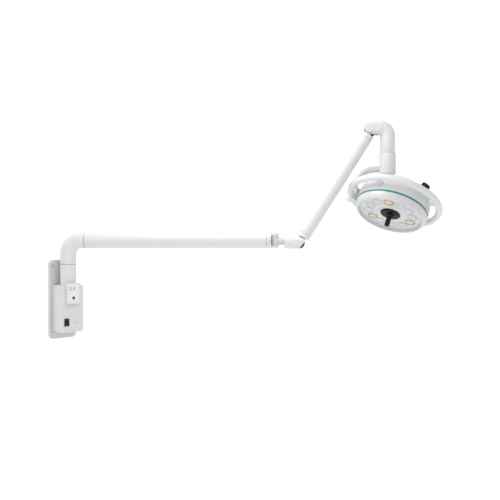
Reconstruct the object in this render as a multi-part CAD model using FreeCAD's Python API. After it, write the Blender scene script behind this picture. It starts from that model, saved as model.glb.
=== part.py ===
import FreeCAD, Part
import math, os

# Wall-mounted surgical light. Millimetres, +Z up, +X out of the wall.
# Origin: centre of the wall plate's back face.

V = FreeCAD.Vector
os.makedirs("parts", exist_ok=True)

# ---------------------------------------------------------------- dimensions
PLATE_W, PLATE_H, PLATE_T = 110.0, 292.0, 10.0
PLATE_R = 16.0
SCREW_Y, SCREW_Z = 42.0, 124.0
BOX_W, BOX_X, BOX_Z0, BOX_Z1, BOX_T = 84.0, 84.0, -118.0, 54.0, 3.0
POST_X = 47.0                      # vertical swivel axis
TUBE_R, TUBE_T = 28.7, 3.0         # wall tube, elbow and horizontal arm
SOCKET_Z1 = 128.7
ARM_Z = 218.0
ELBOW_R = 48.0
ELBOW_END = 62.0
ARM_END = 735.0
ARM_AZ = 45.0                      # rest direction of the arm
YAW_S = 765.0
EAR_R = 13.0
LIFT_S, LIFT_Z = 854.0, 209.0
TOP_S, TOP_Z = 1120.0, 630.0
SPRING_R = 25.0
SLOT_H = 11.5                      # half width of both fork slots
NECK_S = 1181.4
NECK_Z = 633.5
NECK_R = 27.0
NECK_BEND = 28.0
SEAM_Z = 540.0
SLEEVE_R, SLEEVE_Z0 = 30.0, 465.0
BOW_R, BOW_BEND, BOW_Z = 12.0, 77.0, 485.7
HEAD_TILT = 28.9
HEAD_DX, HEAD_DY, HEAD_Z = 8.0, 31.0, 361.7
RING_R, RING_T = 166.0, 12.0
PIV_A, PIV_B, PIV_C = -158.4, -49.8, 26.0
LENS_PCR, LENS_R = 82.0, 15.4
LENS_A0 = 25.0
HUB_R = 37.0
BRACKET_A = (8, 98, 188, 278)
KNOB_A, KNOB_C = 110.0, 49.0

NAMES = []


def vol(o):
    return o.Volume


def out(name, shape, n=1):
    sol = shape.Solids
    if len(sol) != n:
        raise RuntimeError("%s has %d solids, wanted %d" % (name, len(sol), n))
    s = sol[0] if n == 1 else Part.makeCompound(sol)
    if not s.isValid():
        raise RuntimeError("%s is not valid" % name)
    s.exportStep("parts/%s.step" % name)
    NAMES.append((name, s))


def cyl(r, h, p, d):
    return Part.makeCylinder(r, h, V(*p), V(*d))


def box(x0, x1, y0, y1, z0, z1):
    return Part.makeBox(x1 - x0, y1 - y0, z1 - z0, V(x0, y0, z0))


def edges_along(s, axis, test=None):
    r = []
    for e in s.Edges:
        if len(e.Vertexes) != 2:
            continue
        a, b = e.Vertexes[0].Point, e.Vertexes[1].Point
        d = b.sub(a)
        if d.Length < 1e-6:
            continue
        d.normalize()
        if abs(d.dot(V(*axis))) > 0.999 and (test is None or test(a, b)):
            r.append(e)
    return r


def rbox(x0, x1, y0, y1, z0, z1, r, axis):
    b = box(x0, x1, y0, y1, z0, z1)
    return b.makeFillet(r, edges_along(b, axis))


def ring_face(r0, r1, p, d):
    f = Part.Face(Part.Wire([Part.Circle(V(*p), V(*d), r1).toShape()]))
    if r0 > 0:
        f = f.cut(Part.Face(Part.Wire([Part.Circle(V(*p), V(*d), r0).toShape()])))
    return f.Faces[0]


def tube(r0, r1, h, p, d):
    return cyl(r1, h, p, d).cut(cyl(r0, h + 2, tuple(p[i] - d[i] for i in range(3)), d))


def turn(pts, close=True):
    """Solid of revolution about local Z from (r, c) pairs."""
    w = Part.makePolygon([V(r, 0, c) for r, c in pts] + [V(pts[0][0], 0, pts[0][1])])
    return Part.Face(w).revolve(V(0, 0, 0), V(0, 0, 1), 360)


def turn_edges(edges):
    return Part.Face(Part.Wire(edges)).revolve(V(0, 0, 0), V(0, 0, 1), 360)


def spl(pts):
    c = Part.BSplineCurve()
    c.interpolate([V(r, 0, z) for r, z in pts])
    return c.toShape()


def lin(a, b):
    return Part.makeLine(V(a[0], 0, a[1]), V(b[0], 0, b[1]))


def fuse(*s):
    r = s[0]
    for o in s[1:]:
        r = r.fuse(o)
    return r.removeSplitter()


def to_arm(s):
    """Arm frame: local x along the arm, z up, to the row frame."""
    s = s.copy()
    s.rotate(V(0, 0, 0), V(0, 0, 1), ARM_AZ)
    s.translate(V(POST_X, 0, 0))
    return s


SP_L = math.hypot(TOP_S - LIFT_S, TOP_Z - LIFT_Z)
SP_EL = math.degrees(math.atan2(TOP_Z - LIFT_Z, TOP_S - LIFT_S))


def to_spring(s):
    s = s.copy()
    s.rotate(V(0, 0, 0), V(0, 1, 0), -SP_EL)
    s.translate(V(LIFT_S, 0, LIFT_Z))
    return to_arm(s)


NX = POST_X + NECK_S * math.cos(math.radians(ARM_AZ))
NY = NECK_S * math.sin(math.radians(ARM_AZ))


def to_neck(s):
    """Neck frame: row directions, origin on the neck's vertical axis."""
    s = s.copy()
    s.translate(V(NX, NY, 0))
    return s


def to_head(s):
    """Head frame: local z is the head's own axis, origin at the ring centre."""
    s = s.copy()
    s.rotate(V(0, 0, 0), V(1, 0, 0), -HEAD_TILT)
    s.translate(V(NX + HEAD_DX, NY + HEAD_DY, HEAD_Z))
    return s


# ================================================================ wall unit
plate = rbox(0, PLATE_T, -PLATE_W / 2, PLATE_W / 2, -PLATE_H / 2, PLATE_H / 2, PLATE_R, (1, 0, 0))
fr = [e for e in plate.Edges if all(abs(v.Point.x - PLATE_T) < 1e-6 for v in e.Vertexes)]
plate = plate.makeFillet(2.5, fr)
for sy in (-1, 1):
    for sz in (-1, 1):
        plate = plate.cut(cyl(3.1, PLATE_T + 2, (-1, sy * SCREW_Y, sz * SCREW_Z), (1, 0, 0)))
plate = plate.cut(cyl(10.0, PLATE_T + 2, (-1, 0, -60), (1, 0, 0)))
out("wall_plate", plate)

scr = []
for sy in (-1, 1):
    for sz in (-1, 1):
        p = (0.4, sy * SCREW_Y, sz * SCREW_Z)
        s = cyl(3.05, 9.7, p, (1, 0, 0)).fuse(cyl(5.6, 2.6, (10.05, p[1], p[2]), (1, 0, 0)))
        s = s.removeSplitter()
        s = s.makeFillet(1.2, [e for e in s.Edges if abs(e.BoundBox.XMin - 12.65) < 1e-3 and abs(e.BoundBox.XMax - 12.65) < 1e-3][:1])
        s = s.cut(box(11.2, 14, p[1] - 3.2, p[1] + 3.2, p[2] - 0.5, p[2] + 0.5))
        s = s.cut(box(11.2, 14, p[1] - 0.5, p[1] + 0.5, p[2] - 3.2, p[2] + 3.2))
        scr.append(s)
out("wall_screws", Part.makeCompound(scr), 4)

grom = fuse(tube(6.0, 9.95, 12.0, (0.2, 0, -60), (1, 0, 0)), tube(6.0, 12.5, 2.2, (10.05, 0, -60), (1, 0, 0)))
out("cable_grommet", grom)

# housing: open-backed box
hb = box(PLATE_T + 0.05, BOX_X, -BOX_W / 2, BOX_W / 2, BOX_Z0, BOX_Z1)
ed = [e for e in hb.Edges if not all(abs(v.Point.x - PLATE_T - 0.05) < 1e-6 for v in e.Vertexes)]
hb = hb.makeFillet(5.0, ed)
inner = box(PLATE_T - 1, BOX_X - BOX_T, -BOX_W / 2 + BOX_T, BOX_W / 2 - BOX_T, BOX_Z0 + BOX_T, BOX_Z1 - BOX_T)
hb = hb.cut(inner)
hb = hb.cut(cyl(TUBE_R + 0.15, 20, (POST_X, 0, BOX_Z1 - 10), (0, 0, 1)))
RK_Y, RK_Z = -26.8, -80.0
hb = hb.cut(box(BOX_X - 8, BOX_X + 2, RK_Y - 11.4, RK_Y + 11.4, RK_Z - 14.9, RK_Z + 14.9))
IN_Y, IN_Z = 15.0, -84.0
hb = hb.cut(cyl(3.9, 10, (BOX_X - 6, IN_Y, IN_Z), (1, 0, 0)))
PN_Y = -3.0
hb = hb.cut(cyl(4.0, 10, (BOX_X - 6, PN_Y, 24), (1, 0, 0)))
out("housing", hb)

# steel bracket that carries the post
brk = box(PLATE_T + 0.02, PLATE_T + 5, -34, 34, -58, 50)
for z0 in (-48.0, 34.0):
    sh = fuse(box(PLATE_T + 4, POST_X, -34, 34, z0, z0 + 10), cyl(33.0, 10, (POST_X, 0, z0), (0, 0, 1)))
    brk = brk.fuse(sh)
brk = brk.removeSplitter().cut(cyl(TUBE_R + 0.03, 130, (POST_X, 0, -60), (0, 0, 1)))
brk = brk.cut(box(PLATE_T - 1, PLATE_T + 6, -14, 14, -59, -46))
out("post_bracket", brk)

out("post_socket", tube(22.0, TUBE_R, SOCKET_Z1 + 50, (POST_X, 0, -50), (0, 0, 1)))
bs = [tube(20.0, 21.97, 40.0, (POST_X, 0, 86.0), (0, 0, 1)), tube(20.0, 21.97, 40.0, (POST_X, 0, -46.0), (0, 0, 1))]
out("post_bushes", Part.makeCompound(bs), 2)
out("thrust_washer", tube(20.4, 27.7, 1.5, (POST_X, 0, SOCKET_Z1 + 0.03), (0, 0, 1)))

# driver module behind the front
drv = rbox(18, 66, -33, 33, -113, -66, 2.0, (1, 0, 0))
out("driver_module", drv)

# control panel on the housing's front
PX0, PX1 = BOX_X + 0.05, BOX_X + 9.0
pan = box(PX0, PX1, PN_Y - 27, PN_Y + 27, -14, 62)
pan = pan.makeFillet(3.0, [e for e in pan.Edges if not all(abs(v.Point.x - PX0) < 1e-6 for v in e.Vertexes)])
pan = pan.cut(box(PX1 - 0.5, PX1 + 1, PN_Y - 22.5, PN_Y + 22.5, -9.5, 57.5))
BT_Y, BT_Z = PN_Y - 1.0, 8.0
pan = pan.cut(cyl(5.3, 20, (PX0 - 1, BT_Y, BT_Z), (1, 0, 0)))
pan = pan.cut(cyl(3.5, 6, (PX0 - 1, PN_Y, 24), (1, 0, 0)))
out("control_panel", pan)
mem = rbox(PX1 - 0.48, PX1 + 0.05, PN_Y - 22.3, PN_Y + 22.3, -9.3, 57.3, 2.5, (1, 0, 0))
mem = mem.cut(cyl(6.2, 5, (PX1 - 2, BT_Y, BT_Z), (1, 0, 0)))
out("panel_overlay", mem)
ic = []
for yy, sg in ((PN_Y - 13.5, 1), (PN_Y + 0.5, -1)):
    w = Part.makePolygon([V(PX1 + 0.06, yy - 3.6, 40 - sg * 2.8), V(PX1 + 0.06, yy + 3.6, 40 - sg * 2.8),
                          V(PX1 + 0.06, yy, 40 + sg * 3.0), V(PX1 + 0.06, yy - 3.6, 40 - sg * 2.8)])
    ic.append(Part.Face(w).extrude(V(0.35, 0, 0)))
for i in range(2):
    ic.append(box(PX1 + 0.06, PX1 + 0.4, PN_Y - 17 + 14 * i, PN_Y - 10 + 14 * i, 45.2, 46.6))
out("panel_icons", Part.makeCompound(ic), 4)
btn = cyl(5.0, 8.2, (PX1 - 5.6, BT_Y, BT_Z), (1, 0, 0))
btn = btn.makeFillet(0.9, [e for e in btn.Edges if abs(e.BoundBox.XMin - (PX1 + 2.6)) < 1e-3])
out("panel_button", btn)
# rocker switch
rf = fuse(rbox(BOX_X + 0.03, BOX_X + 1.8, RK_Y - 12.6, RK_Y + 12.6, RK_Z - 16.1, RK_Z + 16.1, 1.5, (1, 0, 0)),
          box(BOX_X - 16, BOX_X + 0.03, RK_Y - 11.3, RK_Y + 11.3, RK_Z - 14.8, RK_Z + 14.8))
rf = rf.cut(box(BOX_X - 14.5, BOX_X + 4, RK_Y - 10.2, RK_Y + 10.2, RK_Z - 13.8, RK_Z + 13.8))
rf = rf.cut(cyl(2.07, 40, (BOX_X - 6, RK_Y - 20, RK_Z), (0, 1, 0)))
out("rocker_frame", rf)
rk = box(-6, 8.6, -9.7, 9.7, -12.2, 12.2).cut(cyl(44, 30, (50.6, -15, 0), (0, 1, 0)))
rk = fuse(rk.Solids[0], cyl(2.0, 21.6, (0, -10.8, 0), (0, 1, 0)))
rk.rotate(V(0, 0, 0), V(0, 1, 0), -8)
rk.translate(V(BOX_X - 6, RK_Y, RK_Z))
out("rocker", rk)
il = fuse(cyl(3.8, 5, (BOX_X - 4, IN_Y, IN_Z), (1, 0, 0)), cyl(4.8, 1.2, (BOX_X + 0.03, IN_Y, IN_Z), (1, 0, 0)))
il = il.makeFillet(0.8, [e for e in il.Edges if abs(e.BoundBox.XMin - (BOX_X + 1.23)) < 1e-3])
out("indicator_lens", il)

# ================================================================ horizontal arm
f = ring_face(TUBE_R - TUBE_T, TUBE_R, (0, 0, ARM_Z - ELBOW_R), (0, 0, 1))
bend = f.revolve(V(ELBOW_R, 0, ARM_Z - ELBOW_R), V(0, 1, 0), 90)
el = fuse(tube(TUBE_R - TUBE_T, TUBE_R, ARM_Z - ELBOW_R - 130.6, (0, 0, 130.6), (0, 0, 1)), bend,
          tube(TUBE_R - TUBE_T, TUBE_R, ELBOW_END - ELBOW_R, (ELBOW_R, 0, ARM_Z), (1, 0, 0)))
out("wall_elbow", to_arm(el))
sp = fuse(cyl(19.95, 182.0, (0, 0, -48), (0, 0, 1)), cyl(TUBE_R - TUBE_T - 0.05, 30, (0, 0, 130.65), (0, 0, 1)))
sp = sp.cut(cyl(8, 240, (0, 0, -60), (0, 0, 1)))
out("swivel_spindle", to_arm(sp))
out("arm_tube", to_arm(tube(TUBE_R - TUBE_T, TUBE_R, ARM_END - ELBOW_END - 1.75, (ELBOW_END + 1.7, 0, ARM_Z), (1, 0, 0))))

cap = fuse(cyl(TUBE_R - TUBE_T - 0.04, 36, (ARM_END - 35, 0, ARM_Z), (1, 0, 0)),
           cyl(TUBE_R, 14.7, (ARM_END + 0.3, 0, ARM_Z), (1, 0, 0)))
ear = fuse(box(749, YAW_S, -EAR_R, EAR_R, ARM_Z - 40, ARM_Z + 40), cyl(EAR_R, 80, (YAW_S, 0, ARM_Z - 40), (0, 0, 1)))
ear = ear.common(cyl(TUBE_R, 60, (740, 0, ARM_Z), (1, 0, 0)))
ear = ear.cut(box(750, 800, -40, 40, 199.0, 235.0))
fork = fuse(cap, ear)
fork = fork.cut(cyl(6.0, 90, (YAW_S, 0, ARM_Z - 45), (0, 0, 1)))
out("arm_fork", to_arm(fork))
ys = []
for zz in (228.0, 218.0, 208.0):
    yy = -math.sqrt(TUBE_R ** 2 - (zz - ARM_Z) ** 2)
    ys.append(cyl(2.2, 1.1, (744.5, yy - 1.05, zz), (0, 1, 0)).cut(cyl(TUBE_R + 0.03, 20, (735, 0, ARM_Z), (1, 0, 0))))
out("fork_screws", to_arm(Part.makeCompound(ys)), 3)
yp = fuse(cyl(5.98, 57.0, (YAW_S, 0, ARM_Z - 28.4), (0, 0, 1)))
out("yaw_pin", to_arm(yp))

# ================================================================ knuckle between the arms
bar = fuse(cyl(14.0, 35.2, (YAW_S, 0, 199.4), (0, 0, 1)), cyl(13.3, 34, (YAW_S, 0, 215.2), (1, 0, 0)))
bar = bar.cut(cyl(6.06, 60, (YAW_S, 0, 190), (0, 0, 1)))
out("yaw_barrel", to_arm(bar))
kb = cyl(25.0, 37.0, (799.05, 0, 213.0), (1, 0, 0))
kb = kb.makeFillet(3.0, [e for e in kb.Edges if abs(e.BoundBox.XMin - 799.05) < 1e-3 and abs(e.BoundBox.XMax - 799.05) < 1e-3])
ck = fuse(box(825, LIFT_S, -24, 24, LIFT_Z - 21, LIFT_Z + 21), cyl(21.0, 48, (LIFT_S, -24, LIFT_Z), (0, 1, 0)))
ck = ck.common(cyl(26.0, 80, (810, 0, LIFT_Z), (1, 0, 0)))
off = box(12.5, 45, -30, 30, -40, 40)
off.rotate(V(0, 0, 0), V(0, 1, 0), 38)
off.translate(V(LIFT_S, 0, LIFT_Z))
kn = fuse(kb, ck.cut(off))
kn = kn.cut(box(830, 900, -SLOT_H, SLOT_H, LIFT_Z - 60, LIFT_Z + 60))
kn = kn.cut(cyl(6.0, 70, (LIFT_S, -35, LIFT_Z), (0, 1, 0)))
kn = kn.cut(cyl(9.3, 3.0, (LIFT_S, -25, LIFT_Z), (0, 1, 0))).cut(cyl(9.3, 3.0, (LIFT_S, 22, LIFT_Z), (0, 1, 0)))
out("knuckle_body", to_arm(kn))
out("lift_pin", to_arm(cyl(5.98, 43.8, (LIFT_S, -21.9, LIFT_Z), (0, 1, 0))))


def caps(s, z, y0):
    r = []
    for sg in (-1, 1):
        c = cyl(9.0, 3.0, (s, sg * y0, z), (0, sg, 0))
        c = c.makeFillet(1.0, [e for e in c.Edges if abs(abs(e.BoundBox.YMin) - y0 - 3) < 1e-3 and abs(abs(e.BoundBox.YMax) - y0 - 3) < 1e-3][:1])
        r.append(c)
    return Part.makeCompound(r)


out("lift_caps", to_arm(caps(LIFT_S, LIFT_Z, 22.05)), 2)

# ================================================================ spring arm
COL0, COL1 = 24.4, 40.0


def tongue(heel=0.0):
    t = fuse(cyl(20.6, 2 * SLOT_H - 0.7, (0, -SLOT_H + 0.35, 0), (0, 1, 0)),
             box(0, 31, -SLOT_H + 0.35, SLOT_H - 0.35, -12, 12))
    if heel:
        t = fuse(t, box(4, 24.1, -SLOT_H + 0.35, SLOT_H - 0.35, 0, heel))
    t = fuse(t, cyl(21.9, 34, (30.05, 0, 0), (1, 0, 0)))
    return t.cut(cyl(6.06, 60, (0, -30, 0), (0, 1, 0)))


def collar():
    c = cyl(SPRING_R, COL1 - COL0, (COL0, 0, 0), (1, 0, 0))
    c = c.makeFillet(2.5, [e for e in c.Edges if abs(e.BoundBox.XMin - COL0) < 1e-3 and abs(e.BoundBox.XMax - COL0) < 1e-3])
    c = c.cut(box(0, 60, -SLOT_H + 0.3, SLOT_H - 0.3, -12.05, 12.05))
    return c.cut(cyl(21.95, 60, (30.0, 0, 0), (1, 0, 0)))


def flip(s):
    s = s.copy()
    s.rotate(V(0, 0, 0), V(0, 1, 0), 180)
    s.translate(V(SP_L, 0, 0))
    return s


out("lower_tongue", to_spring(tongue()))
out("lower_collar", to_spring(collar()))
out("spring_arm_tube", to_spring(tube(22.0, SPRING_R, SP_L - 2 * COL1 - 0.8, (COL1 + 0.4, 0, 0), (1, 0, 0))))
out("upper_collar", to_spring(flip(collar())))
out("upper_tongue", to_spring(flip(tongue(20.5))))
# ================================================================ neck elbow
fk = cyl(NECK_R, 8.0, (TOP_S + 25, 0, NECK_Z), (1, 0, 0))
ck = fuse(box(TOP_S, TOP_S + 33, -24, 24, NECK_Z - 26.5, NECK_Z + 26.5), cyl(24.0, 48, (TOP_S, -24, TOP_Z), (0, 1, 0)))
ck = ck.common(cyl(NECK_R, 80, (TOP_S - 47, 0, NECK_Z), (1, 0, 0)))
fk = fuse(fk, ck)
fk = fk.cut(box(TOP_S - 60, TOP_S + 24.8, -SLOT_H, SLOT_H, TOP_Z - 60, TOP_Z + 60))
fk = fk.cut(cyl(6.0, 70, (TOP_S, -35, TOP_Z), (0, 1, 0)))
fk = fk.cut(cyl(9.3, 3.0, (TOP_S, -25, TOP_Z), (0, 1, 0))).cut(cyl(9.3, 3.0, (TOP_S, 22, TOP_Z), (0, 1, 0)))
out("neck_fork", to_arm(fk))
out("neck_pin", to_arm(cyl(5.98, 43.8, (TOP_S, -21.9, TOP_Z), (0, 1, 0))))
out("neck_caps", to_arm(caps(TOP_S, TOP_Z, 22.05)), 2)
bx = NECK_S - NECK_BEND
f = ring_face(NECK_R - 3, NECK_R, (bx, 0, NECK_Z), (1, 0, 0))
nb = f.revolve(V(bx, 0, NECK_Z - NECK_BEND), V(0, 1, 0), 90)
ne = fuse(nb, tube(NECK_R - 3, NECK_R, NECK_Z - NECK_BEND - SEAM_Z - 1.6, (NECK_S, 0, SEAM_Z + 1.6), (0, 0, 1)))
h0 = bx - (TOP_S + 33.05)
if h0 > 0.2:
    ne = fuse(ne, tube(NECK_R - 3, NECK_R, h0, (TOP_S + 33.05, 0, NECK_Z), (1, 0, 0)))
out("neck_elbow", to_arm(ne))
out("neck_seam_ring", to_arm(tube(12.4, 26.0, 1.5, (NECK_S, 0, SEAM_Z + 0.05), (0, 0, 1))))
ns = fuse(cyl(11.95, 60, (NECK_S, 0, 500.0), (0, 0, 1)), cyl(NECK_R - 3.05, 24, (NECK_S, 0, SEAM_Z + 1.6), (0, 0, 1)))
ns = ns.cut(cyl(6.0, 200, (NECK_S, 0, 450), (0, 0, 1)))
out("neck_spindle", to_arm(ns))
# ================================================================ sleeve and bow
sl = cyl(SLEEVE_R, SEAM_Z - 0.3 - SLEEVE_Z0, (0, 0, SLEEVE_Z0), (0, 0, 1))
sl = sl.makeFillet(1.2, [e for e in sl.Edges if abs(e.BoundBox.ZMin - (SEAM_Z - 0.3)) < 1e-3])
sl = sl.cut(cyl(26.0, 530 - SLEEVE_Z0 + 1, (0, 0, SLEEVE_Z0 - 1), (0, 0, 1))).cut(cyl(16.0, 30, (0, 0, 525), (0, 0, 1)))
out("neck_sleeve", to_neck(sl))
bu = fuse(tube(12.0, 15.95, SEAM_Z - 0.35 - 511, (0, 0, 511), (0, 0, 1)), tube(12.0, 25.9, 6, (0, 0, 523.9), (0, 0, 1)))
out("sleeve_bush", to_neck(bu))
ec = fuse(cyl(29.4, 1.9, (0, 0, SLEEVE_Z0 - 2), (0, 0, 1)), cyl(25.9, 7, (0, 0, SLEEVE_Z0 - 0.1), (0, 0, 1)))
out("sleeve_end_cap", to_neck(ec))

PVX = HEAD_DX + PIV_A
bc = PVX + BOW_BEND
f = ring_face(BOW_R - 2.5, BOW_R, (bc, 0, BOW_Z), (1, 0, 0))
arc = f.revolve(V(bc, 0, BOW_Z - BOW_BEND), V(0, 1, 0), -90)
hz = tube(BOW_R - 2.5, BOW_R, abs(bc) - 20, (bc, 0, BOW_Z), (1, 0, 0))
PVZ = HEAD_Z + PIV_B * -math.sin(math.radians(HEAD_TILT)) + PIV_C * math.cos(math.radians(HEAD_TILT))
PVY = HEAD_DY + PIV_B * math.cos(math.radians(HEAD_TILT)) + PIV_C * math.sin(math.radians(HEAD_TILT))
bow = fuse(arc, hz)
boss = cyl(13.0, 24.4, (PVX - 12.2, 0, PVZ), (1, 0, 0))
bow = bow.cut(cyl(12.9, 30, (PVX - 15, 0, PVZ), (1, 0, 0))).cut(box(PVX - 40, PVX + 30, -30, 30, PVZ - 60, PVZ))
bow = fuse(max(bow.Solids, key=vol), boss)
bow = bow.cut(cyl(6.06, 60, (PVX - 30, 0, PVZ), (1, 0, 0)))
bow = bow.cut(cyl(SLEEVE_R + 0.03, 120, (0, 0, 440), (0, 0, 1)))
out("bow", to_neck(bow))
# ================================================================ head
OUT_P = [(131.0, 0.5), (129.6, 14), (124.5, 32), (114.5, 45.5), (100, 53.5), (75, 57.6), (40, 59.6), (0, 60.0)]
INN_P = [(128.0, 0.5), (126.6, 13.6), (121.7, 30.6), (112.4, 43.0), (98.6, 50.4), (74.5, 54.6), (40, 56.6), (0, 57.0)]
o1, i1 = spl(OUT_P), spl(INN_P)
shell = turn_edges([lin((130, -28.9), (133, -28.9)), lin((133, -28.9), (133, -1.4)), lin((133, -1.4), (131, 0.5)),
                    o1, lin((0, 60), (0, 57)), i1, lin((128, 0.5), (130, -6)), lin((130, -6), (130, -28.9))])
full = turn_edges([lin((0, -28.9), (133.03, -28.9)), lin((133.03, -28.9), (133.03, -1.4)), lin((133.03, -1.4), (131, 0.53)),
                   lin((131, 0.53), (131, 0.5)),
                   o1, lin((0, 60), (0, -28.9))])
out("upper_shell", to_head(shell))
out("green_ring", to_head(turn([(127, -36.4), (133.5, -36.4), (133.5, -29.0), (127, -29.0)])))
bez = turn_edges([lin((129, -36.5), (133, -36.5)), spl([(133, -36.5), (132.6, -44), (130.6, -52), (126.8, -58.6), (122.5, -62.2)]),
                  lin((122.5, -62.2), (119.5, -62.6)), lin((119.5, -62.6), (118, -61)), lin((118, -61), (117, -50.05)),
                  lin((117, -50.05), (113, -50.05)), lin((113, -50.05), (113, -48.4)), lin((113, -48.4), (117, -46.95)), lin((117, -46.95), (125, -44)), lin((125, -44), (129, -36.5))])
fp = tube(30.2, 112.9, 3.0, (0, 0, -51.0), (0, 0, 1))
LP = []
for i in range(12):
    a = math.radians(LENS_A0 + 30 * i)
    LP.append((LENS_PCR * math.cos(a), LENS_PCR * math.sin(a), i))
for x, y, i in LP:
    fp = fp.cut(cyl(17.0, 10, (x, y, -55), (0, 0, 1)))
out("lower_bezel", to_head(bez))
out("face_panel", to_head(fp))


def rim():
    return turn([(LENS_R + 0.05, -53.2), (17.6, -53.2), (18.7, -52.3), (18.7, -51.03), (16.95, -51.03), (16.95, -46.5), (LENS_R + 0.05, -46.5)])


def lens():
    s = turn_edges([lin((0, -46.5), (LENS_R, -46.5)), lin((LENS_R, -46.5), (LENS_R, -51.6)),
                    spl([(LENS_R, -51.6), (12.0, -53.1), (6.0, -54.2), (0, -54.5)]), lin((0, -54.5), (0, -46.5))])
    return s


GOLD = (1, 5, 9)
g_r, c_r, g_l, c_l, chips = [], [], [], [], []
for x, y, i in LP:
    r, l = rim(), lens()
    r.translate(V(x, y, 0)); l.translate(V(x, y, 0))
    (g_r if i in GOLD else c_r).append(r)
    (g_l if i in GOLD else c_l).append(l)
    ch = box(-3.5, 3.5, -3.5, 3.5, -41.6, -40.05)
    ch.translate(V(x, y, 0)); chips.append(ch)
out("gold_rims", to_head(Part.makeCompound(g_r)), 3)
out("lens_rims", to_head(Part.makeCompound(c_r)), 9)
out("gold_lenses", to_head(Part.makeCompound(g_l)), 3)
out("clear_lenses", to_head(Part.makeCompound(c_l)), 9)
out("led_board", to_head(tube(34.0, 110.0, 1.6, (0, 0, -40.0), (0, 0, 1))))
out("led_chips", to_head(Part.makeCompound(chips)), 12)
hs = [(30, -38.3), (118, -38.3), (118, -33.5)]
for r in (112, 96, 80, 64, 48):
    hs += [(r, -33.5), (r, -8), (r - 4, -8), (r - 4, -33.5)]
hs += [(30, -33.5)]
out("heat_sink", to_head(turn(hs)))
# centre handle: fixed hub, turning grip
hub = turn([(8.26, -56.5), (HUB_R - 4, -56.5), (HUB_R, -53.5), (HUB_R, -51.03), (30.0, -51.03), (30.0, -44), (8.26, -44)])
out("handle_hub", to_head(hub))
grip = turn_edges([lin((0, -103), (6.5, -103)), spl([(6.5, -103), (8.6, -101.5), (9.3, -98)]), lin((9.3, -98), (9.3, -64)), lin((9.3, -64), (13.5, -61.5)),
                   lin((13.5, -61.5), (13.5, -56.9)), lin((13.5, -56.9), (8.2, -56.9)), lin((8.2, -56.9), (8.2, -46)), lin((8.2, -46), (0, -46)), lin((0, -46), (0, -103))])
out("handle_grip", to_head(grip))

# ring handle, brackets, pivot fork
# the ring is eight equal bends, four of the butts inside the brackets
bends = []
for a in [b + h for b in BRACKET_A for h in (0, 45)]:
    c1 = Part.Face(Part.Wire(Part.makeCircle(RING_T, V(RING_R, 0, 0), V(0, 1, 0))))
    c0 = Part.Face(Part.Wire(Part.makeCircle(RING_T - 2.0, V(RING_R, 0, 0), V(0, 1, 0))))
    q = c1.cut(c0).Faces[0].revolve(V(0, 0, 0), V(0, 0, 1), 45)
    q.rotate(V(0, 0, 0), V(0, 0, 1), a)
    bends.append(q.Solids[0] if q.Solids else q)
out("ring_handle", to_head(Part.makeCompound(bends)), 8)
tcut = Part.makeTorus(RING_R, RING_T + 0.15)
brs = []
for a in BRACKET_A:
    b = box(126, 160, -9, 9, -9, 3)
    b = b.makeFillet(2.5, edges_along(b, (1, 0, 0)))
    b.rotate(V(0, 0, 0), V(0, 0, 1), a)
    b = b.cut(tcut).cut(full)
    brs.append(max(b.Solids, key=vol))
out("ring_brackets", to_head(Part.makeCompound(brs)), 4)
pf = fuse(box(PIV_A - 17.5, PIV_A + 19.6, PIV_B - 13, PIV_B + 13, -15, PIV_C),
          cyl(13.0, 37.1, (PIV_A - 17.5, PIV_B, PIV_C), (1, 0, 0)))
pf = pf.cut(box(PIV_A - 12.5, PIV_A + 14.6, PIV_B - 40, PIV_B + 40, 1, 60)).cut(tcut)
pf = pf.cut(cyl(6.0, 60, (PIV_A - 30, PIV_B, PIV_C), (1, 0, 0)))
pf = max(pf.Solids, key=vol)
out("pivot_fork", to_head(pf))
tp = fuse(cyl(5.98, 37.7, (PIV_A - 17.8, PIV_B, PIV_C), (1, 0, 0)), cyl(8.5, 2.6, (PIV_A - 20.2, PIV_B, PIV_C), (1, 0, 0)),
          cyl(8.5, 2.6, (PIV_A + 19.7, PIV_B, PIV_C), (1, 0, 0)))
out("tilt_pin", to_head(tp))

# adjuster knob on the shoulder
nrm = V(0.5, 0, 0.866)
base = V(KNOB_A, -2.0, KNOB_C)


def kz(s):
    s = s.copy()
    s.Placement = FreeCAD.Placement(base, FreeCAD.Rotation(V(0, 0, 1), nrm)).multiply(s.Placement)
    return s


kbo = fuse(cyl(11.0, 10.5, (0, 0, -6), (0, 0, 1)), cyl(4.0, 13.0, (0, 0, 0), (0, 0, 1)))
kbo = kz(kbo).cut(full)
out("knob_boss", to_head(max(kbo.Solids, key=vol)))
kk = cyl(16.0, 14.0, (0, 0, 4.9), (0, 0, 1))
kk = kk.makeFillet(2.0, [e for e in kk.Edges if e.BoundBox.ZMin > 18.8])
for i in range(12):
    a = math.radians(30 * i)
    kk = kk.cut(cyl(2.2, 20, (17.2 * math.cos(a), 17.2 * math.sin(a), 0), (0, 0, 1)))
kk = kk.cut(cyl(4.06, 9.0, (0, 0, 4.5), (0, 0, 1)))
out("adjuster_knob", to_head(kz(kk)))

print(len(NAMES), "nodes", NX, NY, "pivot", NX + PVX, NY + PVY, PVZ, "L", SP_L, "el", SP_EL)
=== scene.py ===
import math
import bpy
import bmesh
from mathutils import Matrix, Vector


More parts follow.
